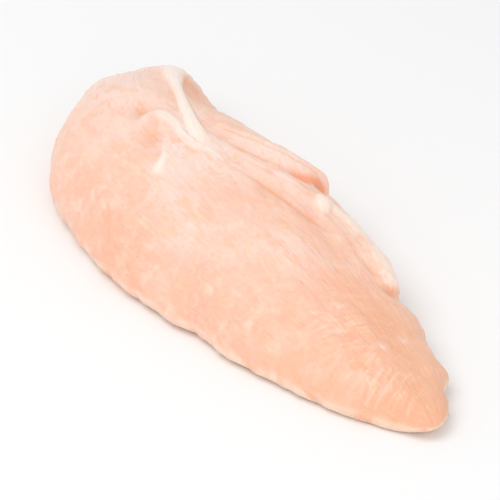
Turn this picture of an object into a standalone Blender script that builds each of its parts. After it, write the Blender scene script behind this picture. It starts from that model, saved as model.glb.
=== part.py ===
"""A raw chicken tenderloin lying flat: one solid of muscle.

The long way runs along X, with the blunt head at -X and the thin tip at +X. The near
margin, at -Y, is thin and rests on the table. The far side, at +Y, is high and carries
two folded strips of muscle and a thick lip. A white tendon runs into the top of the head.
Sizes below are in millimetres and become metres as the mesh is made.
"""

from collections import namedtuple

import bmesh
import bpy
import numpy as np

MM = 0.001

# Cross-sections from the head to the tip. near and far are the two margins, crown is
# where the section is highest, top is that height, base is the height of the underside,
# and near_z and far_z are the heights of the margins' outermost lines. The first and last
# sections are points, where the ends close.
Section = namedtuple("Section", "x near far crown top base near_z far_z")
SECTIONS = (
    Section(-84.4, 7.5, 7.5, 7.5, 9.0, 9.0, 9.0, 9.0),
    Section(-79.0, -9.0, 22.2, 5.5, 17.2, 0.8, 7.5, 8.5),
    Section(-66.0, -22.7, 22.2, 2.0, 22.3, 0.0, 6.0, 7.5),
    Section(-48.0, -30.5, 21.5, -1.5, 24.5, 0.0, 4.5, 7.0),
    Section(-28.0, -31.7, 25.8, -1.0, 24.5, 0.0, 3.2, 7.5),
    Section(-8.0, -30.2, 27.0, 0.0, 23.0, 0.0, 3.0, 7.5),
    Section(14.0, -24.0, 26.4, 2.0, 20.0, 0.0, 2.8, 6.5),
    Section(34.0, -18.3, 22.8, 3.5, 16.0, 0.0, 2.6, 5.0),
    Section(53.0, -10.2, 19.6, 5.0, 11.5, 0.0, 2.5, 4.0),
    Section(68.0, -0.4, 14.7, 7.0, 7.5, 0.2, 2.4, 3.0),
    Section(74.8, 7.3, 7.3, 7.3, 3.2, 3.2, 3.2, 3.2),
)
# Superellipse powers of a section: below 2 slopes like a wedge, above 2 is boxy.
NEAR_SLOPE = 1.8
FAR_SLOPE = 2.3
UNDERSIDE = 3.4

RINGS = 92
POINTS_OVER = 46
POINTS_UNDER = 14
# Steps of the fine curves from which the rings and their points are spaced evenly.
FINE_STEPS = 600

# Dents and swellings of the top: centre, reach along X and Y, and height.
Swelling = namedtuple("Swelling", "x y along across height")
SWELLINGS = (
    Swelling(-49.0, -5.0, 5.5, 4.0, -1.3),
    Swelling(-36.5, -8.0, 5.5, 4.0, -1.2),
    Swelling(-38.0, 8.0, 8.0, 5.0, -0.9),
    Swelling(-56.0, 15.0, 9.0, 6.0, -2.0),
    Swelling(-64.0, -8.0, 12.0, 9.0, 0.8),
    Swelling(-20.0, -16.0, 22.0, 7.0, 0.7),
    Swelling(3.0, 18.2, 2.6, 2.2, 1.2),
    Swelling(8.0, 12.5, 12.0, 5.0, -0.7),
    Swelling(24.0, 0.0, 16.0, 8.0, 0.8),
    Swelling(52.0, 12.0, 12.0, 4.0, -0.6),
)

# Bumps and nicks of the two margins: place along X, reach, and how far they stand out.
# They die away from the margin by the power EDGE_FOCUS of the distance from the crown.
MarginBump = namedtuple("MarginBump", "x reach out")
NEAR_BUMPS = (
    MarginBump(-38.0, 8.0, -0.6),
    MarginBump(8.5, 3.2, 1.2),
    MarginBump(15.5, 2.6, -0.7),
    MarginBump(27.5, 3.6, 0.9),
    MarginBump(56.0, 3.0, 0.4),
)
FAR_BUMPS = (
    MarginBump(36.0, 3.0, -1.0),
    MarginBump(43.0, 5.0, 1.2),
    MarginBump(61.0, 3.5, 1.6),
    MarginBump(65.5, 2.2, -1.3),
)

EDGE_FOCUS = 6

# Straps of muscle, fat and sinew that lie on the surface. Every point of a route is
# (x, y, half width, height).
STRAPS = {
    "strip_upper": (
        (-34.0, 9.6, 2.0, 0.1),
        (-26.0, 13.4, 3.6, 1.1),
        (-18.0, 17.6, 4.6, 2.0),
        (-8.8, 22.6, 4.7, 2.6),
    ),
    "strip_lower": (
        (-22.0, 6.8, 1.6, 0.2),
        (-13.0, 9.8, 3.2, 0.9),
        (-4.0, 14.2, 3.8, 1.1),
        (3.0, 17.8, 2.6, 0.7),
    ),
    "lip": (
        (4.0, 20.4, 2.4, 0.5),
        (12.0, 21.4, 3.8, 1.3),
        (18.0, 22.2, 4.2, 1.6),
        (25.0, 21.8, 4.8, 2.1),
        (31.6, 20.0, 4.2, 2.1),
    ),
    "tendon": (
        (-81.0, 18.6, 4.4, 0.1),
        (-73.0, 15.6, 4.8, 0.6),
        (-66.0, 12.2, 3.6, 0.9),
        (-58.0, 9.4, 2.5, 0.7),
        (-50.3, 6.9, 2.3, 0.6),
        (-43.8, 5.0, 2.4, 0.5),
        (-36.0, 3.0, 2.8, 0.45),
        (-29.0, 1.6, 3.2, 0.3),
        (-19.0, 0.8, 3.8, 0.0),
    ),
    "tendon_branch": (
        (-41.6, -9.8, 1.9, 0.05),
        (-44.6, -6.0, 2.4, 0.25),
        (-45.0, -2.4, 2.9, 0.3),
        (-39.3, -1.0, 2.5, 0.38),
        (-33.7, -1.6, 2.2, 0.38),
        (-27.6, -1.8, 2.3, 0.25),
        (-16.0, 0.6, 3.0, 0.0),
    ),
}

# Furrows along the edges of the straps. Every point of a route is
# (x, y, half width, depth).
FURROWS = {
    "under_strip_upper": (
        (-29.0, 6.4, 1.9, 0.0),
        (-21.2, 9.8, 2.0, 0.6),
        (-11.0, 15.6, 2.1, 0.9),
        (-4.2, 22.8, 2.2, 1.6),
    ),
    "under_strip_lower": (
        (-16.0, 3.2, 1.9, 0.0),
        (-7.0, 6.8, 2.0, 0.4),
        (5.9, 11.0, 2.1, 0.5),
        (14.0, 14.6, 2.0, 0.2),
    ),
    "beside_lip": (
        (8.0, 16.8, 1.9, 0.1),
        (16.0, 17.2, 2.0, 0.3),
        (26.0, 16.6, 2.0, 0.4),
        (35.4, 18.8, 2.2, 0.7),
    ),
}
ROUTE_STEPS = 60
# Power of a strap's rounded cross-section, where 0.5 is an ellipse and 1 a parabola.
STRAP_ROUNDNESS = 1.1

# What lies lower than this becomes the flat face that the piece rests on.
FLAT_BELOW = 0.45
FLESH_COLOUR = (0.93, 0.62, 0.47, 1.0)
FLESH_ROUGHNESS = 0.38


def clear_scene():
    """Removes the startup objects."""
    for thing in list(bpy.data.objects):
        bpy.data.objects.remove(thing)


def smooth_through(rows, amounts):
    """Catmull-Rom curve through the rows, of which the first and last are ghosts.

    amounts run from 0 to 1, and the answer has a row for each of them.
    """
    rows = np.asarray(rows, float)
    spans = len(rows) - 3
    places = np.asarray(amounts) * spans
    index = np.minimum(places.astype(int), spans - 1)
    part = (places - index)[:, None]
    before, start, end, after = (rows[index + k] for k in range(4))
    return 0.5 * (
        2 * start
        + (end - before) * part
        + (2 * before - 5 * start + 4 * end - after) * part**2
        + (3 * start - before - 3 * end + after) * part**3
    )


def evenly(points, count):
    """Places along a fine polyline, as fractional indices, that cut it into equal lengths."""
    steps = np.linalg.norm(np.diff(points, axis=0), axis=1)
    travelled = np.concatenate([[0.0], np.cumsum(steps)])
    wanted = np.linspace(0.0, travelled[-1], count)
    return np.interp(wanted, travelled, np.arange(len(points)))


def taken_at(points, places):
    """The polyline's points at fractional indices."""
    index = np.arange(len(points))
    return np.stack([np.interp(places, index, column) for column in points.T], axis=1)


def fine_sections():
    """Sections along the whole piece, each with how far its two margins stand out.

    The ghosts past its ends make the ends round.
    """
    rows = [np.array(section) for section in SECTIONS]
    head = 2 * rows[0] - rows[1]
    tip = 2 * rows[-1] - rows[-2]
    head[0], tip[0] = rows[1][0], rows[-2][0]
    fine = smooth_through([head, *rows, tip], np.linspace(0.0, 1.0, FINE_STEPS))
    fine[:, 5] = np.maximum(fine[:, 5], 0.0)
    fade = np.clip(fine[:, 4] / SECTIONS[-2].top, 0.0, 1.0)
    for bumps in (NEAR_BUMPS, FAR_BUMPS):
        out = sum(b.out * np.exp(-(((fine[:, 0] - b.x) / b.reach) ** 2)) for b in bumps)
        fine = np.column_stack([fine, out * fade])
    return fine


def outline(section, angles):
    """Points of a section. Angle 0 is the far margin, and a quarter turn is the crown."""
    x, near, far, crown, top, base, near_z, far_z, near_out, far_out = section
    sideways, upwards = np.cos(angles), np.sin(angles)
    margin = np.where(sideways >= 0, far, near)
    margin_z = np.where(sideways >= 0, far_z, near_z)
    over = np.where(sideways >= 0, FAR_SLOPE, NEAR_SLOPE)
    power = 2 / np.where(upwards >= 0, over, UNDERSIDE)
    across = np.abs(sideways) ** power
    height = np.abs(upwards) ** power
    y = crown + (margin - crown) * across
    y += np.where(sideways >= 0, far_out, -near_out) * across**EDGE_FOCUS
    z = margin_z + (np.where(upwards >= 0, top, base) - margin_z) * height
    return np.stack([np.full_like(y, x), y, z], axis=1)


def ring_of(section):
    """A section as evenly spaced points, from the far margin over the crown and back under."""
    parts = []
    for start, end, count in ((0.0, np.pi, POINTS_OVER), (np.pi, 2 * np.pi, POINTS_UNDER)):
        fine = outline(section, np.linspace(start, end, FINE_STEPS))
        parts.append(taken_at(fine, evenly(fine, count + 1))[:-1])
    return np.concatenate(parts)


def on_top(sections, route):
    """The route's smooth path laid on the top, as points and their other two numbers."""
    points = np.asarray(route)
    ghosts = [2 * points[0] - points[1], *points, 2 * points[-1] - points[-2]]
    path = smooth_through(ghosts, np.linspace(0.0, 1.0, ROUTE_STEPS))
    x, y = path[:, 0], path[:, 1]
    _, near, far, crown, top, _, near_z, far_z, _, _ = (
        np.interp(x, sections[:, 0], column) for column in sections.T
    )
    is_far = y >= crown
    across = np.abs(y - crown) / np.where(is_far, far - crown, crown - near)
    slope = np.where(is_far, FAR_SLOPE, NEAR_SLOPE)
    height = (1 - np.clip(across, 0.0, 1.0) ** slope) ** (1 / slope)
    margin_z = np.where(is_far, far_z, near_z)
    return np.stack([x, y, margin_z + (top - margin_z) * height], axis=1), path[:, 2:]


def nearest_on(path, places):
    """The distance of every place from the path, and the index of its nearest point."""
    apart = np.linalg.norm(places[:, None] - path[None], axis=2)
    return apart.min(axis=1), apart.argmin(axis=1)


def relief(places, facing_up, sections):
    """How far the surface stands out at every place."""
    x, y = places[:, 0], places[:, 1]
    out = np.zeros(len(places))
    for s in SWELLINGS:
        out += s.height * np.exp(-(((x - s.x) / s.along) ** 2) - ((y - s.y) / s.across) ** 2)
    out *= np.clip(2 * facing_up, 0.0, 1.0)
    for route in STRAPS.values():
        path, sizes = on_top(sections, route)
        apart, index = nearest_on(path, places)
        half_width, height = sizes[index].T
        rounded = np.clip(1 - (apart / half_width) ** 2, 0.0, None) ** STRAP_ROUNDNESS
        out = np.maximum(out, out * (1 - rounded) + height * rounded)
    for route in FURROWS.values():
        path, sizes = on_top(sections, route)
        apart, index = nearest_on(path, places)
        half_width, depth = sizes[index].T
        out -= depth * np.exp(-((apart / half_width) ** 2))
    return out


def tenderloin_mesh():
    """The muscle as rings of points between two end points, with its relief."""
    sections = fine_sections()
    order = evenly(sections[:, :5], RINGS + 1)
    rings = [ring_of(section) for section in taken_at(sections, order[1:-1])]
    made = bmesh.new()
    rows = [[made.verts.new(point) for point in ring] for ring in rings]
    around = POINTS_OVER + POINTS_UNDER
    for first, second in zip(rows, rows[1:]):
        for k in range(around):
            after = (k + 1) % around
            made.faces.new((first[k], first[after], second[after], second[k]))
    for section, row in ((SECTIONS[0], rows[0]), (SECTIONS[-1], rows[-1])):
        pole = made.verts.new((section.x, section.crown, section.top))
        for k in range(around):
            made.faces.new((pole, row[k], row[(k + 1) % around]))
    bmesh.ops.recalc_face_normals(made, faces=made.faces)
    made.normal_update()
    places = np.array([vertex.co for vertex in made.verts])
    normals = np.array([vertex.normal for vertex in made.verts])
    places += normals * relief(places, normals[:, 2], sections)[:, None]
    places[places[:, 2] < FLAT_BELOW, 2] = 0.0
    middle = (places.min(axis=0) + places.max(axis=0)) / 2
    places[:, :2] -= middle[:2]
    for vertex, place in zip(made.verts, places * MM):
        vertex.co = place
    bmesh.ops.triangulate(made, faces=made.faces, quad_method="SHORT_EDGE")
    mesh = bpy.data.meshes.new("tenderloin")
    made.to_mesh(mesh)
    made.free()
    return mesh


def flesh_material():
    """Pale pink raw poultry, moist."""
    material = bpy.data.materials.new("raw_flesh")
    material.use_nodes = True
    shader = material.node_tree.nodes["Principled BSDF"]
    shader.inputs["Base Color"].default_value = FLESH_COLOUR
    shader.inputs["Roughness"].default_value = FLESH_ROUGHNESS
    shader.inputs["Metallic"].default_value = 0.0
    return material


def main():
    """Builds the tenderloin."""
    clear_scene()
    piece = bpy.data.collections.new("raw_chicken_tenderloin")
    bpy.context.scene.collection.children.link(piece)
    body = bpy.data.objects.new("tenderloin", tenderloin_mesh())
    body.data.materials.append(flesh_material())
    body.data.shade_smooth()
    piece.objects.link(body)


main()
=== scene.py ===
"""A raw chicken tenderloin: moist, pale muscle with a white tendon, folded strips and a lip.

The piece lies along X, with its blunt head at -X, its thin tip at +X and its high folded
side at +Y. Shapes are worked out in millimetres from named sizes and turned into metres
as each mesh is made.
"""
import logging
import math
from collections.abc import Mapping, Sequence
from dataclasses import astuple, dataclass
from enum import Enum
from typing import NamedTuple

import bpy
import numpy as np
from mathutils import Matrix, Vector


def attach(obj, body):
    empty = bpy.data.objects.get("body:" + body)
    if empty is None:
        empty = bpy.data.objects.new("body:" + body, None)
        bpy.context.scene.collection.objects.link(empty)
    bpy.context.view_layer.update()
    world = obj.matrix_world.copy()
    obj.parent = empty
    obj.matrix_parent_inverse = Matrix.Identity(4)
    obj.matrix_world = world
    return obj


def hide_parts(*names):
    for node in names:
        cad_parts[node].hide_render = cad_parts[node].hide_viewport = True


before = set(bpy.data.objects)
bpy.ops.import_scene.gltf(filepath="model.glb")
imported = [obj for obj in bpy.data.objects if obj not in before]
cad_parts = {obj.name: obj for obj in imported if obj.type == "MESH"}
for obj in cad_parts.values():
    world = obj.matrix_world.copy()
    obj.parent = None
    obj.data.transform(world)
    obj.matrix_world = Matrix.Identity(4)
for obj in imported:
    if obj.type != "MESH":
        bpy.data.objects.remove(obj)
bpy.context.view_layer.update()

Array = np.ndarray
Colour = tuple[float, float, float, float]
Numbers = tuple[float, ...]

MM = 0.001
NODE = "tenderloin"
BODY = "root"
MEAT_IOR = 1.38

log = logging.getLogger("tenderloin")


def linear(red: int, green: int, blue: int) -> Colour:
    """A screen colour as the linear colour that a shader takes.

    Args:
        red: Red, from 0 to 255.
        green: Green, from 0 to 255.
        blue: Blue, from 0 to 255.

    Returns:
        Linear red, green and blue, and an alpha of 1.
    """
    def channel(value: int) -> float:
        """One channel made linear."""
        part = value / 255
        return part / 12.92 if part <= 0.04045 else ((part + 0.055) / 1.055) ** 2.4

    return channel(red), channel(green), channel(blue), 1.0


@dataclass(frozen=True)
class Pattern:
    """Soft noise: its squeeze along each axis, its scale, and its octaves and swirl."""

    squeeze: Numbers = (1.0, 1.0, 1.0)
    scale: float = 1.0
    detail: float = 2.0
    roughness: float = 0.5
    swirl: float = 0.0


@dataclass(frozen=True)
class Band:
    """Where a mask begins and where it is full, and how strong it is there."""

    low: float
    high: float
    strength: float = 1.0


class Wire:
    """A node's output, on which the maths of a material or a shape is written."""

    def __init__(self, bench: "Bench", socket: bpy.types.NodeSocket) -> None:
        """Holds the output and the tree that it is in."""
        self.bench = bench
        self.socket = socket

    def __add__(self, other: "Wire | float") -> "Wire":
        """The sum."""
        return self.bench.maths("ADD", self, other)

    def __sub__(self, other: "Wire | float") -> "Wire":
        """The difference."""
        return self.bench.maths("SUBTRACT", self, other)

    def __rsub__(self, other: float) -> "Wire":
        """The difference, with the number first."""
        return self.bench.maths("SUBTRACT", other, self)

    def __mul__(self, other: "Wire | float") -> "Wire":
        """The product."""
        return self.bench.maths("MULTIPLY", self, other)

    __radd__ = __add__
    __rmul__ = __mul__


class Bench:
    """A node tree being wired, for a material or for a shape."""

    def __init__(self, tree: bpy.types.NodeTree) -> None:
        """Starts from an empty tree."""
        tree.nodes.clear()
        self.tree = tree

    def node(
        self,
        kind: str,
        sockets: Mapping[str | int, object] | None = None,
        out: str | int = 0,
        **settings: object,
    ) -> Wire:
        """Adds a node.

        Args:
            kind: The node's type.
            sockets: Values, or wires, for its inputs by name or place.
            out: Which output to return.
            **settings: Its own settings, which are set first.

        Returns:
            The output, or the first input of a node that has none.
        """
        made = self.tree.nodes.new(kind)
        for name, value in settings.items():
            setattr(made, name, value)
        for key, value in (sockets or {}).items():
            if isinstance(value, Wire):
                self.tree.links.new(value.socket, made.inputs[key])
            else:
                made.inputs[key].default_value = value
        if not made.outputs:
            return Wire(self, made.inputs[0])
        return Wire(self, made.outputs[out])

    def maths(self, operation: str, first: Wire | float, second: Wire | float) -> Wire:
        """A Math node on two numbers or wires."""
        return self.node("ShaderNodeMath", {0: first, 1: second}, operation=operation)

    def vector(self, operation: str, first: Wire, second: Wire | Numbers) -> Wire:
        """A Vector Math node on two vectors."""
        return self.node("ShaderNodeVectorMath", {0: first, 1: second}, operation=operation)

    def scaled(self, vector: Wire, factor: Wire) -> Wire:
        """A vector made longer or shorter."""
        sockets = {0: vector, "Scale": factor}
        return self.node("ShaderNodeVectorMath", sockets, operation="SCALE")

    def smooth(self, value: Wire, band: Band) -> Wire:
        """0 before a band, its strength past it, and an easy slope between them."""
        sockets = {0: value, "From Min": band.low, "From Max": band.high, "To Max": band.strength}
        return self.node("ShaderNodeMapRange", sockets, interpolation_type="SMOOTHSTEP")

    def mix(self, amount: Wire | float, first: Wire | Colour, second: Wire | Colour) -> Wire:
        """Mixes two colours by how much of the second there is."""
        sockets = {0: amount, 6: first, 7: second}
        return self.node("ShaderNodeMix", sockets, out=2, data_type="RGBA")

    def blend(self, weights: Numbers, *wires: Wire) -> Wire:
        """The sum of wires, each times its weight."""
        first, *rest = (wire * weight for wire, weight in zip(wires, weights, strict=True))
        return sum(rest, first)

    def noise(self, vector: Wire, pattern: Pattern) -> Wire:
        """Soft noise from 0 to 1.

        Args:
            vector: Where it is read.
            pattern: The kind of noise.

        Returns:
            The noise.
        """
        if pattern.squeeze != Pattern.squeeze:
            vector = self.vector("MULTIPLY", vector, pattern.squeeze)
        sockets = {
            "Vector": vector,
            "Scale": pattern.scale,
            "Detail": pattern.detail,
            "Roughness": pattern.roughness,
            "Distortion": pattern.swirl,
        }
        return self.node("ShaderNodeTexNoise", sockets, noise_dimensions="3D")


class ShapeBench(Bench):
    """A shape's tree, which takes in a piece's geometry and an input for each size."""

    def __init__(self, name: str, sizes: Mapping[str, float]) -> None:
        """Starts the tree with its sockets.

        Args:
            name: The tree's name.
            sizes: The values of its inputs, by the inputs' names.
        """
        super().__init__(bpy.data.node_groups.new(name, "GeometryNodeTree"))
        face = self.tree.interface
        face.new_socket("Geometry", in_out="INPUT", socket_type="NodeSocketGeometry")
        self.values = {}
        for size, value in sizes.items():
            socket = face.new_socket(size, in_out="INPUT", socket_type="NodeSocketFloat")
            self.values[socket.identifier] = value
        face.new_socket("Geometry", in_out="OUTPUT", socket_type="NodeSocketGeometry")
        given = self.tree.nodes.new("NodeGroupInput").outputs
        self.geometry = Wire(self, given["Geometry"])
        self.size = {size: Wire(self, given[size]) for size in sizes}

    def grow(self, piece: bpy.types.Object, solid: Wire, material: bpy.types.Material) -> None:
        """Ends the tree, runs it on a piece and keeps what it makes as a plain mesh.

        Args:
            piece: The piece.
            solid: The geometry that the tree has made.
            material: What that is made of.
        """
        solid = self.node("GeometryNodeSetShadeSmooth", {"Geometry": solid})
        solid = self.node("GeometryNodeRealizeInstances", {"Geometry": solid})
        sockets = {"Geometry": solid, "Material": material}
        solid = self.node("GeometryNodeSetMaterial", sockets)
        self.node("NodeGroupOutput", {0: solid})
        modifier = piece.modifiers.new(self.tree.name, "NODES")
        modifier.node_group = self.tree
        for identifier, value in self.values.items():
            modifier[identifier] = value
        graph = bpy.context.evaluated_depsgraph_get()
        mesh = bpy.data.meshes.new_from_object(piece.evaluated_get(graph))
        piece.modifiers.clear()
        piece.data = mesh
        mesh.name = piece.name


def new_material(name: str) -> tuple[bpy.types.Material, Bench]:
    """Makes a material whose nodes are still to be wired.

    Args:
        name: Its name.

    Returns:
        The material, and the bench for its nodes.
    """
    made = bpy.data.materials.new(name)
    made.use_nodes = True
    return made, Bench(made.node_tree)


def new_object(name: str, data: bpy.types.ID) -> bpy.types.Object:
    """Puts a new object in the scene.

    Args:
        name: Its name.
        data: Its mesh, light or camera.

    Returns:
        The object.
    """
    made = bpy.data.objects.new(name, data)
    bpy.context.scene.collection.objects.link(made)
    return made


class Tissue(Enum):
    """What a raised strap is made of."""

    MUSCLE = "muscle"
    FAT = "fat"
    SINEW = "sinew"


@dataclass(frozen=True)
class Station:
    """A cross-section: its margins, crown and heights."""

    x: float
    near: float
    far: float
    crown: float
    top: float
    base: float
    near_z: float
    far_z: float


@dataclass(frozen=True)
class Bump:
    """A bump or, where it stands out by less than nothing, a nick of a margin."""

    x: float
    reach: float
    out: float


@dataclass(frozen=True)
class Wave:
    """A ripple along the margins: its length, height and phase."""

    length: float
    height: float
    phase: float


@dataclass(frozen=True)
class Swelling:
    """A soft swelling or dent of the top."""

    x: float
    y: float
    along: float
    across: float
    height: float

    def shape(self, x: Array, y: Array) -> Array:
        """How much of its height it has at each point."""
        return np.exp(-(((x - self.x) / self.along) ** 2) - ((y - self.y) / self.across) ** 2)


def swellings_of(*rows: Numbers) -> tuple[Swelling, ...]:
    """Swellings from rows of their sizes."""
    return tuple(Swelling(*row) for row in rows)


@dataclass(frozen=True)
class Ramp:
    """An easy step. It falls where its length is less than nothing."""

    start: float
    length: float
    height: float = 1.0

    def of(self, values: Array) -> Array:
        """The step at each value."""
        return self.height * eased((values - self.start) / self.length)


@dataclass(frozen=True)
class Route:
    """A strap or furrow on the surface, through points of x, y, half width and height.

    A strap's strength and softness are those of its tissue's colour. A strap of muscle may
    have bundles, of a height, and one of sinew a number of fine threads.
    """

    points: tuple[Numbers, ...]
    tissue: Tissue = Tissue.MUSCLE
    roundness: float = 0.7
    bundles: float = 0.0
    strength: float = 1.0
    softness: float = 0.8
    threads: int = 0


@dataclass(frozen=True)
class Tint:
    """A named tint of the surface, made of soft spots whose heights are its strength."""

    name: str
    spots: tuple[Swelling, ...]


class Beside(NamedTuple):
    """The mesh's points near a route: which they are, and how each lies to its path."""

    nearby: Array
    apart: Array
    along: Array
    sideways: Array
    half_width: Array
    height: Array


def smooth_through(rows: Sequence[Array], amounts: Array) -> Array:
    """A Catmull-Rom curve through rows, of which the first and last are ghosts.

    Args:
        rows: The rows.
        amounts: Places along the curve, from 0 to 1.

    Returns:
        A row for each place.
    """
    table = np.asarray(rows, float)
    spans = len(table) - 3
    places = np.asarray(amounts) * spans
    index = np.minimum(places.astype(int), spans - 1)
    part = (places - index)[:, None]
    before, start, end, after = (table[index + k] for k in range(4))
    return 0.5 * (
        2 * start
        + (end - before) * part
        + (2 * before - 5 * start + 4 * end - after) * part**2
        + (3 * start - before - 3 * end + after) * part**3
    )


def evenly(points: Array, count: int) -> Array:
    """Fractional places that cut a fine polyline into equal lengths.

    Args:
        points: The polyline.
        count: How many places.

    Returns:
        The places, counted in points.
    """
    steps = np.linalg.norm(np.diff(points, axis=0), axis=1)
    travelled = np.concatenate([[0.0], np.cumsum(steps)])
    wanted = np.linspace(0.0, travelled[-1], count)
    return np.interp(wanted, travelled, np.arange(len(points)))


def taken_at(points: Array, places: Array) -> Array:
    """A polyline's points at fractional places, which are counted in points."""
    index = np.arange(len(points))
    return np.stack([np.interp(places, index, column) for column in points.T], axis=1)


def eased(value: Array) -> Array:
    """An easy step from 0 to 1, flat at both ends."""
    part = np.clip(value, 0.0, 1.0)
    return part * part * (3 - 2 * part)


def facing_up(normals: Array) -> Array:
    """1 where the surface slopes by less than 60 degrees, and 0 where it faces down."""
    return np.clip(2 * normals[:, 2], 0.0, 1.0)


@dataclass(frozen=True)
class Form:
    """The muscle's bare form: sections along X, with superellipse sides."""

    stations: tuple[Station, ...] = (
        Station(-84.4, 7.5, 7.5, 7.5, 9, 9, 9, 9),
        Station(-79, -9, 22.2, 5.5, 17.2, 0.8, 7.5, 8.5),
        Station(-66, -22.7, 22.2, 2, 22.3, 0, 6, 7.5),
        Station(-48, -30.5, 21.5, -1.5, 24.5, 0, 4.5, 7),
        Station(-28, -31.7, 25.8, -1, 24.5, 0, 3.2, 7.5),
        Station(-8, -30.2, 27, 0, 23, 0, 3, 7.5),
        Station(14, -24, 26.4, 2, 20, 0, 2.8, 6.5),
        Station(34, -18.3, 22.8, 3.5, 16, 0, 2.6, 5),
        Station(53, -10.2, 19.6, 5, 11.5, 0, 2.5, 4),
        Station(68, -0.4, 14.7, 7, 7.5, 0.2, 2.4, 3),
        Station(74.8, 7.3, 7.3, 7.3, 3.2, 3.2, 3.2, 3.2),
    )
    near_slope: float = 1.8
    far_slope: float = 2.3
    underside: float = 3.4
    near_bumps: tuple[Bump, ...] = (
        Bump(-38, 8, -0.6),
        Bump(8.5, 3.2, 1.2),
        Bump(15.5, 2.6, -0.7),
        Bump(27.5, 3.6, 0.9),
        Bump(56, 3, 0.4),
    )
    far_bumps: tuple[Bump, ...] = (
        Bump(36, 3, -1),
        Bump(43, 5, 1.2),
        Bump(61, 3.5, 1.6),
        Bump(65.5, 2.2, -1.3),
    )
    frill: tuple[Wave, ...] = (Wave(11.3, 0.16, 0.4), Wave(6.1, 0.13, 2.1), Wave(3.7, 0.09, 4))
    edge_focus: float = 6.0
    fine_steps: int = 1200
    route_steps: int = 120
    middle: Numbers = (-4.9, -2.4)

    def sections(self) -> Array:
        """Fine sections along the whole piece.

        Returns:
            Rows of a station's sizes, each with how far its two margins stand out.
        """
        rows = [np.array(astuple(station)) for station in self.stations]
        head, tip = 2 * rows[0] - rows[1], 2 * rows[-1] - rows[-2]
        head[0], tip[0] = rows[1][0], rows[-2][0]
        fine = smooth_through([head, *rows, tip], np.linspace(0.0, 1.0, self.fine_steps))
        x, _, _, _, top, base, _, _ = fine.T
        np.maximum(base, 0.0, out=base)
        fade = np.clip(top / self.stations[-2].top, 0.0, 1.0)
        for side, bumps in enumerate((self.near_bumps, self.far_bumps)):
            out = sum(b.out * np.exp(-(((x - b.x) / b.reach) ** 2)) for b in bumps)
            for wave in self.frill:
                out += wave.height * np.sin(2 * math.pi * x / wave.length + wave.phase + side)
            fine = np.column_stack([fine, out * fade])
        return fine

    def outline(self, section: Array, angles: Array) -> Array:
        """Points of a section.

        Args:
            section: The section's sizes.
            angles: Angles round it. 0 is the far margin and a quarter turn the crown.

        Returns:
            The points.
        """
        x, near, far, crown, top, base, near_z, far_z, near_out, far_out = section
        sideways, upwards = np.cos(angles), np.sin(angles)
        margin = np.where(sideways >= 0, far, near)
        margin_z = np.where(sideways >= 0, far_z, near_z)
        over = np.where(sideways >= 0, self.far_slope, self.near_slope)
        power = 2 / np.where(upwards >= 0, over, self.underside)
        across = np.abs(sideways) ** power
        height = np.abs(upwards) ** power
        y = crown + (margin - crown) * across
        y += np.where(sideways >= 0, far_out, -near_out) * across**self.edge_focus
        z = margin_z + (np.where(upwards >= 0, top, base) - margin_z) * height
        return np.stack([np.full_like(y, x), y, z], axis=1)

    def on_top(self, sections: Array, route: Route) -> tuple[Array, Array]:
        """A route's smooth path laid on the top.

        Args:
            sections: The fine sections.
            route: The route.

        Returns:
            The path's points, and their half widths and heights.
        """
        points = np.asarray(route.points)
        ghosts = [2 * points[0] - points[1], *points, 2 * points[-1] - points[-2]]
        path = smooth_through(ghosts, np.linspace(0.0, 1.0, self.route_steps))
        x, y = path[:, 0], path[:, 1]
        _, near, far, crown, top, _, near_z, far_z, _, _ = (
            np.interp(x, sections[:, 0], column) for column in sections.T
        )
        is_far = y >= crown
        across = np.abs(y - crown) / np.where(is_far, far - crown, crown - near)
        slope = np.where(is_far, self.far_slope, self.near_slope)
        height = (1 - np.clip(across, 0.0, 1.0) ** slope) ** (1 / slope)
        margin_z = np.where(is_far, far_z, near_z)
        return np.stack([x, y, margin_z + (top - margin_z) * height], axis=1), path[:, 2:]


TIP_FIBRES = 117.0
SHOULDER_FIBRES = 74.0
FIBRE_ROWS = Pattern((200, 720, 0), 1, 2, 0.4, 0.5)
CELLS = Pattern(scale=430, swirl=0.6)
CORDS = Pattern((0.13, 1.9, 1), 1, 3, 0.55, 0.3)


def fibre_rows(bench: Bench, place: Wire, angle: float) -> Wire:
    """Rows of short fibres that run across the grain, as seen from above.

    Args:
        bench: The tree.
        place: Where they are read, in metres.
        angle: The rows' direction from the long way, in degrees.

    Returns:
        Noise from 0 to 1 that is drawn out along the rows.
    """
    sockets = {"Vector": place, "Angle": -math.radians(angle)}
    turned = bench.node("ShaderNodeVectorRotate", sockets, rotation_type="Z_AXIS")
    return bench.noise(turned, FIBRE_ROWS)


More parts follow.
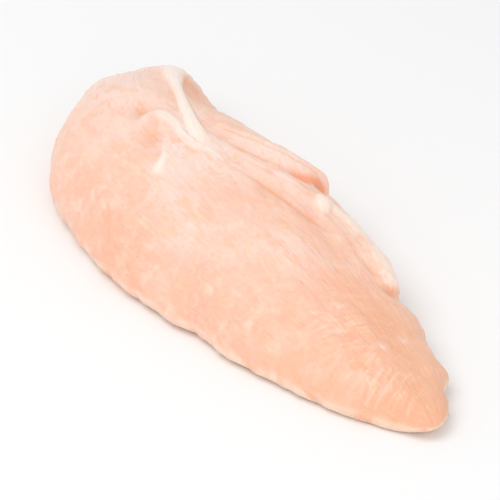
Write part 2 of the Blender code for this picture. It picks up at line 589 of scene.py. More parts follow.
@dataclass(frozen=True)
class FleshFinish:
    """Moist raw muscle: peach and cream patches, fine fibres, a whitish film that is partly painted
    sheen, painted shade in creases and hollows, and a painted light low rim.
    """

    peach: Colour = linear(247, 196, 168)
    cream: Colour = linear(250, 212, 191)
    rose: Colour = linear(247, 200, 184)
    blush: Colour = linear(244, 180, 152)
    # Pale membrane colour of cells, threads and film, also used as painted sheen on upward-facing
    # patches.
    film: Colour = linear(251, 223, 214)
    fat: Colour = linear(251, 213, 188)
    pith: Colour = linear(254, 232, 218)
    sinew: Colour = linear(254, 238, 226)
    # Reddish marks, and also the painted shade in dents and furrows.
    mark_and_crease_shade: Colour = linear(238, 158, 116)
    # Painted warm shade in hollows and low on the sides, and a painted warm glow towards the thin
    # tip.
    amber_shade: Colour = linear(239, 179, 141)
    # Painted light along the low, steep rim of the sides.
    painted_rim_light: Colour = linear(254, 226, 206)
    patches: Pattern = Pattern((1, 1.4, 1), 110, 4, 0.6, 0.8)
    blotches: Pattern = Pattern(scale=250, detail=3, roughness=0.55, swirl=1)
    threads: Pattern = Pattern((0.16, 1.5, 1), 1, 4, 0.6, 0.25)
    marks: Pattern = Pattern((0.3, 0.9, 1), 1, 1, 0.5, 0.4)
    specks: Pattern = Pattern(scale=900)
    cream_patches: Band = Band(0.4, 0.62)
    rose_blotches: Band = Band(0.42, 0.64, 0.6)
    rosy_spots: Band = Band(0.7, 1.2)
    pale_cells: Band = Band(0.48, 0.7, 0.2)
    pale_threads: Band = Band(0.5, 0.74, 0.24)
    light_rows: Band = Band(0.5, 0.66, 0.6)
    dark_rows: Band = Band(0.5, 0.34, 0.65)
    broken_film_and_sheen: Band = Band(0.4, 0.58)
    broken_rim_light: Band = Band(0.34, 0.6, 0.65)
    deep_marks: Band = Band(0.7, 0.76, 0.32)
    painted_crease_shade: Band = Band(0, 1, 0.8)
    white_curds: Band = Band(0.5, 0.85)
    fat_lumps: Band = Band(0.5, 1.05, 0.92)
    fat_margin: Band = Band(0, 0.3)
    sinew_strings: Band = Band(0.1, 0.95)
    white_specks: Band = Band(0.7, 0.78, 0.3)
    wet_patches: Band = Band(0.45, 0.65, 0.2)
    warm_shade_strength: float = 0.8
    veil_weights: Numbers = (0.6, 0.4)
    film_and_sheen_weights: Numbers = (0.8, 0.15)
    curd_weights: Numbers = (0.7, 0.5)
    lump_weights: Numbers = (0.75, 0.4, 0.3)
    bump_weights: Numbers = (0.7, 0.25, 0.8)
    string_least: float = 0.35
    string_contrast: float = 1.3
    roughness: float = 0.42
    blotch_roughness: float = 0.14
    veil_gloss: float = 0.08
    coat: float = 0.1
    string_coat: float = 0.15
    coat_roughness: float = 0.22
    bump_strength: float = 0.5
    bump_depth: float = 0.0004
    scatter: float = 0.45
    white_scatter: float = 0.0
    scatter_depth: float = 0.0022
    scatter_spread: Numbers = (1.0, 0.42, 0.26)

    def material(self) -> bpy.types.Material:
        """The finish as a material, with a second shader for what is white and dense.

        Returns:
            The material.
        """
        made, bench = new_material("raw flesh")
        grain = self._reading(bench, "grain", "Vector")
        strand = self._reading(bench, "strand", "Vector")
        place = bench.node("ShaderNodeTexCoord", out="Object")
        names = ("crease", "film", "fat", "sinew", "rosy", "warm", "slant", "cross", "rim")
        crease, film, fat, sinew, rosy, warm, slant, cross, rim = (
            self._reading(bench, name, "Fac") for name in names
        )
        patches = bench.noise(place, self.patches)
        blotches = bench.noise(place, self.blotches)
        cells = bench.noise(place, CELLS)
        threads = bench.noise(grain, self.threads)
        cords = bench.noise(strand, CORDS)
        marks = bench.noise(grain, self.marks)
        specks = bench.noise(place, self.specks)
        layers = [
            (bench.smooth(patches, self.cream_patches), self.cream),
            (bench.smooth(blotches, self.rose_blotches), self.rose),
            (rosy * bench.smooth(cells + blotches, self.rosy_spots), self.blush),
            (bench.smooth(cells, self.pale_cells), self.film),
            (bench.smooth(threads, self.pale_threads), self.film),
            # Painted warm shade and glow.
            (warm * self.warm_shade_strength, self.amber_shade),
        ]
        for mask, angle in ((slant, TIP_FIBRES), (cross, SHOULDER_FIBRES)):
            rows = fibre_rows(bench, place, angle)
            layers.append((mask * bench.smooth(rows, self.light_rows), self.cream))
            layers.append((mask * bench.smooth(rows, self.dark_rows), self.blush))
        torn = bench.blend(self.veil_weights, blotches, threads)
        # The film mask, partly membrane and partly painted sheen, broken into patches.
        veil_and_sheen = film * bench.smooth(torn, self.broken_film_and_sheen)
        curds = bench.smooth(bench.blend(self.curd_weights, blotches, fat), self.white_curds)
        lumps = bench.blend(self.lump_weights, fat, blotches, cells)
        fatty = bench.smooth(lumps, self.fat_lumps) * bench.smooth(fat, self.fat_margin)
        stringy = sinew * (self.string_least + cords * self.string_contrast)
        strings = bench.smooth(stringy, self.sinew_strings)
        layers += [
            (bench.blend(self.film_and_sheen_weights, veil_and_sheen, film), self.film),
            # Painted light along the low rim.
            (rim * bench.smooth(patches, self.broken_rim_light), self.painted_rim_light),
            (bench.smooth(marks, self.deep_marks), self.mark_and_crease_shade),
            # Painted shade: darker orange in dents and furrows.
            (bench.smooth(crease, self.painted_crease_shade), self.mark_and_crease_shade),
            (fatty, bench.mix(curds, self.fat, self.pith)),
            (strings, self.sinew),
            (bench.smooth(specks, self.white_specks), self.sinew),
        ]
        colour = self.peach
        for amount, tint in layers:
            colour = bench.mix(amount, colour, tint)
        height = bench.blend(self.bump_weights, threads, specks, cells) + cords * sinew
        bump = {"Strength": self.bump_strength, "Distance": self.bump_depth, "Height": height}
        rough = self.roughness + blotches * self.blotch_roughness - veil_and_sheen * self.veil_gloss
        wet = self.coat + bench.smooth(patches, self.wet_patches) + strings * self.string_coat
        shared = {
            "Base Color": colour,
            "Roughness": rough,
            "Normal": bench.node("ShaderNodeBump", bump),
            "IOR": MEAT_IOR,
            "Subsurface Radius": self.scatter_spread,
            "Subsurface Scale": self.scatter_depth,
            "Coat Weight": wet,
            "Coat Roughness": self.coat_roughness,
        }
        flesh, white = (
            bench.node(
                "ShaderNodeBsdfPrincipled",
                shared | {"Subsurface Weight": scatter},
                subsurface_method="RANDOM_WALK",
            )
            for scatter in (self.scatter, self.white_scatter)
        )
        solid = bench.maths("MAXIMUM", strings, fatty)
        shader = bench.node("ShaderNodeMixShader", {0: solid, 1: flesh, 2: white})
        bench.node("ShaderNodeOutputMaterial", {"Surface": shader})
        return made

    @staticmethod
    def _reading(bench: Bench, name: str, output: str) -> Wire:
        """An attribute of the piece."""
        settings = {"attribute_type": "GEOMETRY", "attribute_name": name}
        return bench.node("ShaderNodeAttribute", out=output, **settings)


@dataclass(frozen=True)
class FibreRelief:
    """The muscle's fine relief: long bundles, short slanting ones and soft lumps."""

    bundle_height: float = 0.6
    fibre_height: float = 0.24
    slant_height: float = 1.0
    lump_height: float = 0.9
    cell_height: float = 0.35
    sinew_height: float = 0.4
    seed_shift: float = 4.7
    sinew_calm: float = 0.8
    bundles: Pattern = Pattern((0.07, 0.42, 1), swirl=0.35)
    fibres: Pattern = Pattern((0.14, 1.25, 1), 1, 3, 0.55, 0.3)
    lumps: Pattern = Pattern((0.12, 0.15, 1), swirl=0.4)

    def carve(self, piece: bpy.types.Object, material: bpy.types.Material) -> None:
        """Moves the piece's surface in and out by its fibres, and paints it.

        Args:
            piece: The smooth piece.
            material: Its finish.
        """
        sizes = {
            "Bundle Height": self.bundle_height * MM,
            "Fibre Height": self.fibre_height * MM,
            "Slant Height": self.slant_height * MM,
            "Lump Height": self.lump_height * MM,
            "Cell Height": self.cell_height * MM,
            "Sinew Height": self.sinew_height * MM,
            "Seed Shift": self.seed_shift,
        }
        bench = ShapeBench("muscle fibres", sizes)
        size = bench.size
        grain = self._field(bench, "grain", "FLOAT_VECTOR")
        strand = self._field(bench, "strand", "FLOAT_VECTOR")
        slant, cross, sinew, calm = (
            self._field(bench, name, "FLOAT") for name in ("slant", "cross", "sinew", "calm")
        )
        place = bench.node("GeometryNodeInputPosition")
        shift = bench.node("ShaderNodeCombineXYZ", {2: size["Seed Shift"]})
        moved = bench.vector("ADD", grain, shift)

        def ripple(where: Wire, pattern: Pattern) -> Wire:
            """A pattern's noise about nought."""
            return bench.noise(where, pattern) - 0.5

        height = ripple(moved, self.bundles) * size["Bundle Height"] * (1 - slant)
        height = height + ripple(moved, self.fibres) * size["Fibre Height"]
        for mask, angle in ((slant, TIP_FIBRES), (cross, SHOULDER_FIBRES)):
            rows = fibre_rows(bench, place, angle) - 0.5
            height = height + rows * size["Slant Height"] * mask
        height = height + ripple(place, CELLS) * size["Cell Height"]
        height = height + ripple(moved, self.lumps) * size["Lump Height"]
        cords = ripple(strand, CORDS) * size["Sinew Height"] * sinew
        height = height * (1 - sinew * self.sinew_calm) + cords
        normal = bench.node("GeometryNodeInputNormal")
        offset = bench.scaled(normal, height * (2 * calm))
        sockets = {"Geometry": bench.geometry, "Offset": offset}
        bench.grow(piece, bench.node("GeometryNodeSetPosition", sockets), material)

    @staticmethod
    def _field(bench: Bench, name: str, kind: str) -> Wire:
        """An attribute of the surface, as a field."""
        return bench.node("GeometryNodeInputNamedAttribute", {"Name": name}, data_type=kind)


def adopt(piece: bpy.types.Object) -> None:
    """Attaches a finished piece to its body, hides the part that it takes the place of, and logs
    its faces.

    Args:
        piece: The piece.
    """
    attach(piece, BODY)
    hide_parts(NODE)
    log.info("%s: %d faces", piece.name, len(piece.data.polygons))


@dataclass(frozen=True)
class Muscle:
    """The whole muscle: its form with dents, straps and furrows, and its fine relief."""

    form: Form = Form()
    rings: int = 330
    points_over: int = 212
    points_under: int = 48
    swellings: tuple[Swelling, ...] = swellings_of(
        (-49, -5, 5, 3.6, -1.5), (-36.5, -8, 5, 3.6, -1.3), (-38, 8, 8, 5, -0.9),
        (-56, 15, 9, 6, -2), (-64, -8, 12, 9, 0.8), (-78, -4, 5, 5, 1.1), (-73, 7, 6, 4.5, -0.7),
        (-20, -16, 22, 7, 0.7), (8, 12.5, 12, 5, -0.7), (24, 0, 16, 8, 0.8), (52, 12, 12, 4, -0.6),
    )
    straps: tuple[Route, ...] = (
        # Upper folded strip.
        Route((
            (-34, 9.6, 2, 0.1), (-26, 13.4, 3.6, 1.1), (-18, 17.6, 4.6, 2), (-8.8, 22.6, 4.7, 2.6),
        ), bundles=0.45),
        # Lower folded strip.
        Route((
            (-22, 6.8, 1.6, 0.2), (-13, 9.8, 3.2, 1), (-4, 14.2, 3.8, 1.2), (3, 17.8, 2.6, 0.8),
        ), bundles=0.2),
        # Lip of fat.
        Route((
            (4, 20.4, 2.4, 0.5), (12, 21.4, 3.8, 1.3), (18, 22.2, 4.2, 1.6), (25, 21.8, 4.8, 2.1),
            (31.6, 20, 4.2, 2.1),
        ), tissue=Tissue.FAT, softness=0.9),
        # Lip's root.
        Route((
            (6, 17.6, 2.4, 0.2), (14, 18.6, 4, 0.5), (23, 18.8, 4.8, 0.6), (31, 18.8, 3.6, 0.5),
        ), tissue=Tissue.FAT, strength=0.45, softness=1.3),
        # White knob.
        Route((
            (0.6, 19.4, 1.9, 0.6), (2.4, 18.5, 2.7, 1.6), (4.4, 17.5, 2.6, 1.5),
            (6.4, 16.8, 1.8, 0.6),
        ), tissue=Tissue.FAT, softness=0.5),
        # Tendon.
        Route((
            (-81, 18.6, 4.4, 0.1), (-73, 15.6, 4.8, 0.6), (-66, 12.2, 3.6, 0.9),
            (-58, 9.4, 2.1, 0.6), (-50.3, 6.9, 1.9, 0.55), (-43.8, 5, 2.2, 0.5),
            (-36, 3, 2.6, 0.45), (-29, 1.6, 3, 0.3), (-19, 0.8, 3.8, 0),
        ), tissue=Tissue.SINEW, softness=0.9, threads=5),
        # Tendon's branch.
        Route((
            (-41.6, -9.8, 1.4, 0.05), (-44.6, -6, 2.2, 0.2), (-45, -2.4, 2.9, 0.26),
            (-39.3, -1, 2.4, 0.34), (-33.7, -1.6, 1.7, 0.36), (-28, -1.2, 2.1, 0.36),
            (-23.4, 0.4, 2.3, 0.28), (-16, 2.4, 2.8, 0),
        ), tissue=Tissue.SINEW, strength=0.74, softness=1, threads=2),
        # Pale streak.
        Route((
            (-37.5, -2.6, 1.1, 0.1), (-34, -4.9, 1.3, 0.14), (-29.4, -8, 1.4, 0.2),
            (-25.9, -10.8, 1.9, 0.36), (-23.7, -12.7, 2.2, 0.36), (-20.8, -14.6, 1.7, 0),
        ), tissue=Tissue.SINEW, strength=0.76, softness=1.1),
    )
    tints: tuple[Tint, ...] = (
        # Membrane film, partly painted sheen.
        Tint("film", swellings_of(
            (-58, -5, 17, 9, 0.75), (-76, 4, 7, 14, 0.9), (-24, -4, 9, 7, 0.85),
            (-25, 5, 7, 3.6, 0.8), (-14, 2, 8, 5, 0.5), (-33, 0.6, 6, 2, 0.8),
            (-24, -12.6, 4.5, 3.6, 0.7), (-31, -6.6, 5, 2.6, 0.5), (-12, -14, 6, 5, 0.4),
            (-2, -17, 6, 4, 0.3), (5, -11, 16, 8, 0.3), (18, 1, 8, 6, 0.5), (-19, 17, 12, 6, 0.9),
            (-3, 13, 7, 3, 0.6), (-42, 7.8, 5, 2.6, 0.9), (52, 6.4, 1.3, 1.3, 1),
            (51, 12.4, 1.3, 1, 1),
        )),
        Tint("rosy", swellings_of(
            (18, -21, 17, 6, 0.9), (-13, -27, 16, 7, 0.8), (7, 10.5, 11, 4, 0.55),
            (32, 3, 14, 7, 0.5), (-38, 7.6, 3, 2, 0.6), (9.6, -17.3, 2.6, 2, 0.8),
            (-4, -4, 12, 5, 0.4), (12, -12, 18, 6, 0.45), (-36, -27, 15, 6, 0.6),
            (34, -9, 12, 7, 0.5),
        )),
        # Painted warm shade in dents and hollows, beside the tendon pad and along the near margin.
        Tint("warm", swellings_of(
            (46, 10, 13, 6, 0.6), (72, 7, 8, 9, 0.7), (78, 10, 6, 6, 0.5),
            (-50.6, -4.6, 3.6, 2.6, 1.2), (-36.6, -7.8, 3, 2.4, 0.6), (-29, -5, 3, 1.5, 0.4),
            (-62.4, 15.8, 4.6, 2.2, 1.2), (-4.4, 5.3, 2.4, 1.2, 0.9), (-10, -29, 20, 3, 0.4),
        )),
        Tint("slant", swellings_of((60, 1, 11, 9, 1))),
        Tint("cross", swellings_of((43, 1, 9, 9, 1), (24, -12, 9, 6, 0.4))),
    )
    furrows: tuple[Route, ...] = (
        # Under the upper strip.
        Route((
            (-29, 6.4, 0.9, 0), (-21.2, 9.8, 0.7, 0.7), (-11, 15.6, 0.8, 1), (-4.5, 22.6, 1.1, 1.5),
        )),
        # Under the lower strip.
        Route((
            (-16, 3.2, 1, 0), (-7, 6.8, 0.8, 0.5), (5.9, 11, 0.9, 0.45), (14, 14.6, 1, 0.2),
        )),
        # Beside the lip.
        Route((
            (8, 16.8, 0.9, 0.1), (16, 17.2, 0.9, 0.3), (26, 16.6, 0.9, 0.4), (35.4, 18.8, 1.4, 0.7),
        )),
    )
    dent_shade: float = 0.22
    furrow_shade: float = 0.9
    bundle_width: float = 2.1
    shown_from: float = 0.4
    lane_gap: float = 9.0
    narrowest: float = 12.0
    contact: float = 1.6
    # Painted warm glow rising towards the tip, and painted warm shade low on the sides.
    tip_warm_shade: Ramp = Ramp(8, 54, 0.62)
    foot_warm_shade: Ramp = Ramp(9, -8, 0.1)
    moving: Ramp = Ramp(0.6, 3, 0.5)
    # Where the painted rim light lies: low on the sides, where they are steep or face down.
    rim_light_low: Ramp = Ramp(5.5, -2)
    rim_light_steep: Ramp = Ramp(0.5, -1 / 2.4)
    above_rim: Ramp = Ramp(2.5, 3)
    relief: FibreRelief = FibreRelief()
    finish: FleshFinish = FleshFinish()

    def build(self) -> bpy.types.Object:
        """Builds, carves and paints the muscle.

        Returns:
            The finished piece.
        """
        sections = self.form.sections()
        order = evenly(sections[:, :5], self.rings + 1)
        rings = [self._ring(section) for section in taken_at(sections, order[1:-1])]
        grid = np.stack(rings)
        first, last = self.form.stations[0], self.form.stations[-1]
        poles = np.array([[s.x, s.crown, s.top] for s in (first, last)])
        places = np.concatenate([grid.reshape(-1, 3), poles])
        mesh = bpy.data.meshes.new("muscle")
        mesh.from_pydata(places * MM, [], self._faces(*grid.shape[:2]))
        normals = self._normals(mesh)
        height, masks = self._raised(places, normals, sections)
        places = places + normals * height[:, None]
        places[:, 2] *= eased(places[:, 2] / self.contact)
        masks["grain"] = self._grain(grid)
        masks |= self._fields(places, normals)
        places[:, :2] -= np.array(self.form.middle)
        mesh.vertices.foreach_set("co", (places * MM).astype(np.float32).ravel())
        mesh.update()
        for name, values in masks.items():
            self._attribute(mesh, name, values)
        mesh.shade_smooth()
        piece = new_object("muscle", mesh)
        self.relief.carve(piece, self.finish.material())
        adopt(piece)
        return piece

    def _ring(self, section: Array) -> Array:
        """A section as evenly spaced points, over the crown and back under.

        Args:
            section: The section's sizes.

        Returns:
            The points.
        """
        halves = ((0.0, math.pi, self.points_over), (math.pi, 2 * math.pi, self.points_under))
        parts = []
        for start, end, count in halves:
            fine = self.form.outline(section, np.linspace(start, end, self.form.fine_steps))
            parts.append(taken_at(fine, evenly(fine, count + 1))[:-1])
        return np.concatenate(parts)

    @staticmethod
    def _faces(rings: int, around: int) -> list[list[int]]:
        """The faces between the rings, and the fans that close the two ends.

        Args:
            rings: How many rings there are.
            around: How many points a ring has.

        Returns:
            The faces, all turned outwards.
        """
        step = np.arange(around)
        after = (step + 1) % around
        start = (np.arange(rings - 1) * around)[:, None]
        sides = (start + step, start + after, start + around + after, start + around + step)
        quads = np.stack(sides, axis=2).reshape(-1, 4)
        head, last = np.full_like(step, rings * around), (rings - 1) * around
        fans = ((head, after, step), (head + 1, last + step, last + after))
        ends = np.concatenate([np.stack(fan, axis=1) for fan in fans])
        return quads.tolist() + ends.tolist()

    @staticmethod
    def _normals(mesh: bpy.types.Mesh) -> Array:
        """The normals at a mesh's points.

        Args:
            mesh: The mesh.

        Returns:
            A normal for each point.
        """
        values = np.empty(len(mesh.vertices) * 3, np.float32)
        mesh.vertex_normals.foreach_get("vector", values)
        return values.reshape(-1, 3).astype(float)

    def _raised(
        self, places: Array, normals: Array, sections: Array
    ) -> tuple[Array, dict[str, Array]]:
        """How far each point stands out, and what the surface is there.

        Args:
            places: The bare form's points.
            normals: Their normals.
            sections: The fine sections.

        Returns:
            The heights, the mask of painted shade in dents and furrows, the masks of fat and sinew,
            and the strands' places.
        """
        out = np.zeros(len(places))
        # Painted shade: how much darker the colour is made in dents and furrows.
        painted_shade = np.zeros(len(places))
        for swelling in self.swellings:
            shape = swelling.shape(places[:, 0], places[:, 1])
            out += swelling.height * shape
            painted_shade += max(0.0, -swelling.height) * shape * self.dent_shade
        out *= facing_up(normals)
        painted_shade *= facing_up(normals)
        masks = {tissue.value: np.zeros(len(places)) for tissue in Tissue}
        strand = np.zeros((len(places), 3))
        for number, route in enumerate(self.straps):
            near = self._beside(places, sections, route)
            nearby, sideways, height = near.nearby, near.sideways, near.height
            inside = np.clip(1 - (near.apart / near.half_width) ** 2, 0.0, None)
            rounded = inside**route.roundness
            ribs = np.cos(2 * math.pi * sideways / self.bundle_width) * route.bundles * inside
            raised = out[nearby] * (1 - rounded) + (height + ribs) * rounded
            out[nearby] = np.maximum(out[nearby], raised)
            fading = np.clip(height / self.shown_from, 0.0, 1.0)
            strength = route.strength * inside**route.softness * fading
            mask = masks[route.tissue.value]
            stronger = strength > mask[nearby]
            mask[nearby[stronger]] = strength[stronger]
            lanes = np.full_like(sideways, self.lane_gap * number)
            local = np.stack([near.along, sideways, lanes], axis=1)
            strand[nearby[stronger]] = local[stronger]
        for route in self.furrows:
            near = self._beside(places, sections, route)
            shape = near.height * np.exp(-((near.apart / near.half_width) ** 2))
            out[near.nearby] -= shape
            painted_shade[near.nearby] += shape * self.furrow_shade
        del masks[Tissue.MUSCLE.value]
        masks["crease"] = np.clip(painted_shade, 0.0, 1.0)
        masks["strand"] = strand
        return out, masks

    def _beside(self, places: Array, sections: Array, route: Route) -> Beside:
        """Where the points near a route lie from it.

        Args:
            places: All the points.
            sections: The fine sections.
            route: The route.

        Returns:
            The near points and how they lie.
        """
        path, sizes = self.form.on_top(sections, route)
        margin = 3 * sizes[:, 0].max()
        low, high = path.min(axis=0) - margin, path.max(axis=0) + margin
        nearby = np.flatnonzero(((places > low) & (places < high)).all(axis=1))
        gaps = places[nearby][:, None] - path[None]
        apart = np.linalg.norm(gaps, axis=2)
        index = apart.argmin(axis=1)
        ahead = np.gradient(path, axis=0)
        ahead /= np.linalg.norm(ahead, axis=1)[:, None]
        side = np.cross(ahead, np.array([0.0, 0.0, 1.0]))[index]
        sideways = (gaps[np.arange(len(nearby)), index] * side).sum(axis=1)
        steps = np.linalg.norm(np.diff(path, axis=0, prepend=path[:1]), axis=1)
        along = np.cumsum(steps)[index]
        return Beside(nearby, apart.min(axis=1), along, sideways, *sizes[index].T)

    def _grain(self, grid: Array) -> Array:
        """Fibre coordinates: millimetres along the piece, and across it from the crown.

        Args:
            grid: The bare form's rings of points.

        Returns:
            A vector for each point of the rings, and for the two ends.
        """
        steps = np.linalg.norm(np.diff(grid, axis=1, prepend=grid[:, -1:]), axis=2)
        steps[:, 0] = 0.0
        across = np.cumsum(steps, axis=1)
        across -= across[:, self.points_over // 2][:, None]
        widths = across[:, self.points_over - 1] - across[:, 0]
        fan = (widths.max() / np.maximum(widths, self.narrowest)) ** 0.5
        across = across * fan[:, None]
        table = np.stack([grid[:, :, 0], across, np.zeros_like(across)], axis=2)
        ends = [[grid[end, 0, 0], 0.0, 0.0] for end in (0, -1)]
        return np.concatenate([table.reshape(-1, 3), ends])

    def _fields(self, places: Array, normals: Array) -> dict[str, Array]:
        """Where each tint and the short fibres lie, where the painted rim light is and where it is
        calm.

        Args:
            places: The points, before they are moved to the middle.
            normals: Their normals.

        Returns:
            The masks, by name.
        """
        x, y, z = places.T
        fields = {}
        for tint in self.tints:
            field = sum(spot.height * spot.shape(x, y) for spot in tint.spots)
            fields[tint.name] = np.clip(field, 0.0, 1.0)
        # The film, partly painted sheen, only on faces turned upwards.
        fields["film"] *= facing_up(normals)
        # Painted warm shade and glow: towards the tip and low on the sides.
        warm = fields["warm"] + self.tip_warm_shade.of(x) + self.foot_warm_shade.of(z)
        fields["warm"] = np.clip(warm, 0.0, 1.0)
        fields["calm"] = self.moving.of(z)
        # Painted light low on the steep sides.
        fields["rim"] = self.rim_light_low.of(z) * self.rim_light_steep.of(normals[:, 2])
        for name in ("slant", "cross"):
            fields[name] *= self.above_rim.of(z)
        return fields

    @staticmethod
    def _attribute(mesh: bpy.types.Mesh, name: str, values: Array) -> None:
        """Stores numbers or vectors at the mesh's points.

        Args:
            mesh: The mesh.
            name: The attribute's name.
            values: A number or a vector for each point.
        """
        is_vector = values.ndim == 2
        made = mesh.attributes.new(name, "FLOAT_VECTOR" if is_vector else "FLOAT", "POINT")
        flat = np.ascontiguousarray(values, np.float32).ravel()
        made.data.foreach_set("vector" if is_vector else "value", flat)


@dataclass(frozen=True)
class WhiteFinish:
    """Soft white of sinew threads, with fine mottling."""

    pale: Colour = linear(255, 243, 230)
    tinged: Colour = linear(255, 230, 214)
    clouds: Pattern = Pattern(scale=420, detail=3, roughness=0.6, swirl=0.6)
    grit: Pattern = Pattern(scale=1600)
    pale_clouds: Band = Band(0.38, 0.64)
    roughness: float = 0.4
    grit_roughness: float = 0.12
    coat: float = 0.1
    cloud_coat: float = 0.1
    coat_roughness: float = 0.25
    bump_strength: float = 0.4
    bump_depth: float = 0.0002

    def material(self) -> bpy.types.Material:
        """The finish as a material.

        Returns:
            The material.
        """
        made, bench = new_material("sinew")
        place = bench.node("ShaderNodeTexCoord", out="Object")
        clouds = bench.noise(place, self.clouds)
        grit = bench.noise(place, self.grit)
        height = grit + clouds
        bump = {"Strength": self.bump_strength, "Distance": self.bump_depth, "Height": height}
        sockets = {
            "Base Color": bench.mix(bench.smooth(clouds, self.pale_clouds), self.tinged, self.pale),
            "Roughness": self.roughness + grit * self.grit_roughness,
            "Normal": bench.node("ShaderNodeBump", bump),
            "IOR": MEAT_IOR,
            "Coat Weight": self.coat + clouds * self.cloud_coat,
            "Coat Roughness": self.coat_roughness,
        }
        shader = bench.node("ShaderNodeBsdfPrincipled", sockets)
        bench.node("ShaderNodeOutputMaterial", {"Surface": shader})
        return made


@dataclass(frozen=True)
class SurfaceThreads:
    """Fine threads of sinew laid on the muscle, side by side along the tendon's routes."""

    spread: float = 0.7
    starts: Numbers = (0.02, 0.5)
    ends: Numbers = (0.6, 0.98)
    radius: float = 0.1
    sunk: float = 0.04
    wander: float = 0.9
    wander_scale: float = 160.0
    step: float = 0.5
    root: Band = Band(0, 0.25)
    tail: Band = Band(1, 0.6)
    thinnest: float = 0.15
    sides: int = 8
    drop: float = 60.0
    seed: int = 11
    finish: WhiteFinish = WhiteFinish()

    def build(self, muscle: bpy.types.Object, form: Form, routes: Sequence[Route]) -> None:
        """Builds and dresses the threads.

        Args:
            muscle: The finished muscle that they lie on.
            form: Its bare form.
            routes: The routes that they follow.
        """
        chance = np.random.default_rng(self.seed)
        sections = form.sections()
        points, edges = [], []
        for route in routes:
            path, sizes = form.on_top(sections, route)
            ahead = np.gradient(path[:, :2], axis=0)
            ahead /= np.linalg.norm(ahead, axis=1)[:, None]
            side = np.stack([-ahead[:, 1], ahead[:, 0]], axis=1)
            for offset in chance.uniform(-self.spread, self.spread, route.threads):
                first = int(chance.uniform(*self.starts) * len(path))
                last = int(chance.uniform(*self.ends) * len(path))
                line = path[first:last, :2] + side[first:last] * (offset * sizes[first:last, :1])
                start = len(points)
                points += [(x, y, self.drop) for x, y in line - np.array(form.middle)]
                edges += [(k, k + 1) for k in range(start, len(points) - 1)]
        mesh = bpy.data.meshes.new("threads")
        mesh.from_pydata(np.array(points) * MM, edges, [])
        piece = new_object("threads", mesh)
        self._shape(piece, muscle)
        adopt(piece)

    def _shape(self, piece: bpy.types.Object, muscle: bpy.types.Object) -> None:
        """Turns the lines into round tapered threads that lie on the muscle.

        Args:
            piece: The lines, above the muscle.
            muscle: What they are dropped on.
        """
        sizes = {
            "Thread Radius": self.radius * MM,
            "Sunk": self.sunk * MM,
            "Wander": self.wander * MM,
            "Step": self.step * MM,
        }
        bench = ShapeBench("threads", sizes)
        size = bench.size
        curve = bench.node("GeometryNodeMeshToCurve", {"Mesh": bench.geometry})
        sockets = {"Curve": curve, "Length": size["Step"]}
        curve = bench.node("GeometryNodeResampleCurve", sockets, mode="LENGTH")
        sockets = {0: bench.node("GeometryNodeInputPosition"), "Scale": self.wander_scale}
        drift = bench.node("ShaderNodeTexNoise", sockets, out=1, noise_dimensions="3D")
        shift = bench.scaled(bench.vector("SUBTRACT", drift, (0.5, 0.5, 0.5)), size["Wander"])
        curve = bench.node("GeometryNodeSetPosition", {"Geometry": curve, "Offset": shift})
        below = bench.node("GeometryNodeObjectInfo", {"Object": muscle}, out="Geometry")
        ray = {"Target Geometry": below, "Ray Direction": (0.0, 0.0, -1.0), "Ray Length": 1.0}
        landing = bench.node("GeometryNodeRaycast", ray, out="Hit Position")
        depth = bench.node("ShaderNodeCombineXYZ", {2: 0.0 - size["Sunk"]})
        sockets = {"Geometry": curve, "Position": bench.vector("ADD", landing, depth)}
        curve = bench.node("GeometryNodeSetPosition", sockets)
        along = bench.node("GeometryNodeSplineParameter", out="Factor")
        thick = bench.smooth(along, self.root) * bench.smooth(along, self.tail)
        taper = thick * (1 - self.thinnest) + self.thinnest
        curve = bench.node("GeometryNodeSetCurveRadius", {"Curve": curve, "Radius": taper})
        sockets = {"Resolution": self.sides, "Radius": size["Thread Radius"]}
        ring = bench.node("GeometryNodeCurvePrimitiveCircle", sockets, mode="RADIUS")
        sockets = {"Curve": curve, "Profile Curve": ring, "Fill Caps": True}
        solid = bench.node("GeometryNodeCurveToMesh", sockets)
        bench.grow(piece, solid, self.finish.material())


@dataclass(frozen=True)
class Lamp:
    """A square soft light: how far right, up and back it hangs, its side and its power."""

    name: str
    right: float
    up: float
    back: float
    side: float
    watts: float


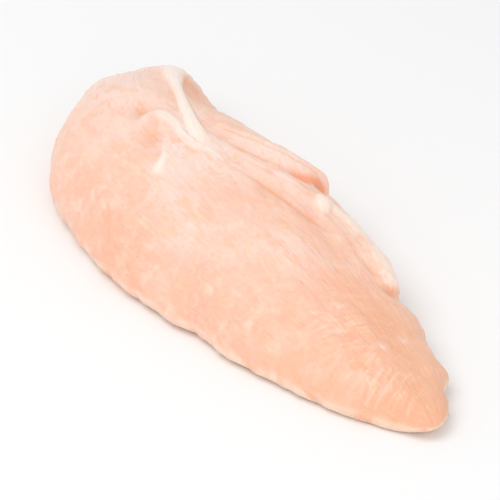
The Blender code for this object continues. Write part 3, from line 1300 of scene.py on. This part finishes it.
@dataclass(frozen=True)
class Studio:
    """A pale floor, soft light and the camera."""

    azimuth: float = 62.0
    elevation: float = 34.0
    distance: float = 0.62
    lens: float = 184.0
    target: Numbers = (0.0, 0.0, 9.0)
    lamps: tuple[Lamp, ...] = (
        Lamp("key", -0.35, 0.7, 0.1, 0.6, 2.5),
        Lamp("fill", 0.1, -0.1, 0.7, 0.8, 1.25),
    )
    air: float = 0.72
    floor_size: float = 6.0
    floor_drop: float = 0.1
    floor_dark: Colour = (0.9, 0.9, 0.9, 1.0)
    floor_light: Colour = (0.93, 0.93, 0.93, 1.0)
    floor_clouds: Pattern = Pattern(scale=3)
    floor_roughness: float = 0.7

    def build(self) -> None:
        """Sets up the floor, the lights, the camera and the view."""
        self._floor()
        for lamp in self.lamps:
            self._light(lamp)
        self._camera()
        world = bpy.data.worlds.new("studio air")
        bpy.context.scene.world = world
        world.use_nodes = True
        bench = Bench(world.node_tree)
        sockets = {"Color": (1.0, 1.0, 1.0, 1.0), "Strength": self.air}
        air = bench.node("ShaderNodeBackground", sockets)
        bench.node("ShaderNodeOutputWorld", {"Surface": air})
        bpy.context.scene.view_settings.view_transform = "Standard"

    def _axes(self) -> tuple[Vector, Vector]:
        """The picture's directions.

        Returns:
            From the target to the camera, and to the picture's right.
        """
        turn, rise = math.radians(self.azimuth), math.radians(self.elevation)
        flat = math.cos(rise)
        back = Vector((math.sin(turn) * flat, -math.cos(turn) * flat, math.sin(rise)))
        return back, Vector((math.cos(turn), math.sin(turn), 0.0))

    def _hang(self, name: str, data: bpy.types.ID, offset: Vector) -> bpy.types.Object:
        """Hangs a camera or lamp so that it looks at the target.

        Args:
            name: Its name.
            data: The camera or lamp.
            offset: Its place from the target, in metres.

        Returns:
            The object.
        """
        x, y, z = self.target
        middle_x, middle_y = Form().middle
        hung = new_object(name, data)
        hung.location = Vector((x - middle_x, y - middle_y, z)) * MM + offset
        hung.rotation_mode = "QUATERNION"
        hung.rotation_quaternion = (-offset).to_track_quat("-Z", "Y")
        return hung

    def _camera(self) -> None:
        """Sets up the camera."""
        back, _ = self._axes()
        data = bpy.data.cameras.new("camera")
        data.lens = self.lens
        bpy.context.scene.camera = self._hang("camera", data, back * self.distance)

    def _light(self, lamp: Lamp) -> None:
        """Sets up a light.

        Args:
            lamp: Its place, size and power.
        """
        back, right = self._axes()
        data = bpy.data.lights.new(lamp.name, "AREA")
        data.size = lamp.side
        data.energy = lamp.watts
        up = Vector((0.0, 0.0, lamp.up))
        self._hang(lamp.name, data, right * lamp.right + up + back * lamp.back)

    def _floor(self) -> None:
        """Lays the pale floor."""
        half = self.floor_size / 2
        mesh = bpy.data.meshes.new("floor")
        corners = [(-half, -half), (half, -half), (half, half), (-half, half)]
        mesh.from_pydata([(x, y, -self.floor_drop * MM) for x, y in corners], [], [(0, 1, 2, 3)])
        floor = new_object("floor", mesh)
        made, bench = new_material("pale floor")
        tone = bench.noise(bench.node("ShaderNodeTexCoord", out="Object"), self.floor_clouds)
        colour = bench.mix(tone, self.floor_dark, self.floor_light)
        sockets = {"Base Color": colour, "Roughness": self.floor_roughness}
        shader = bench.node("ShaderNodeBsdfPrincipled", sockets)
        bench.node("ShaderNodeOutputMaterial", {"Surface": shader})
        mesh.materials.append(made)


def main() -> None:
    """Builds the piece and its studio."""
    logging.basicConfig(level=logging.INFO, format="%(message)s")
    muscle = Muscle()
    body = muscle.build()
    sinews = [route for route in muscle.straps if route.tissue is Tissue.SINEW]
    SurfaceThreads().build(body, muscle.form, sinews)
    Studio().build()


if __name__ == "__main__":
    main()
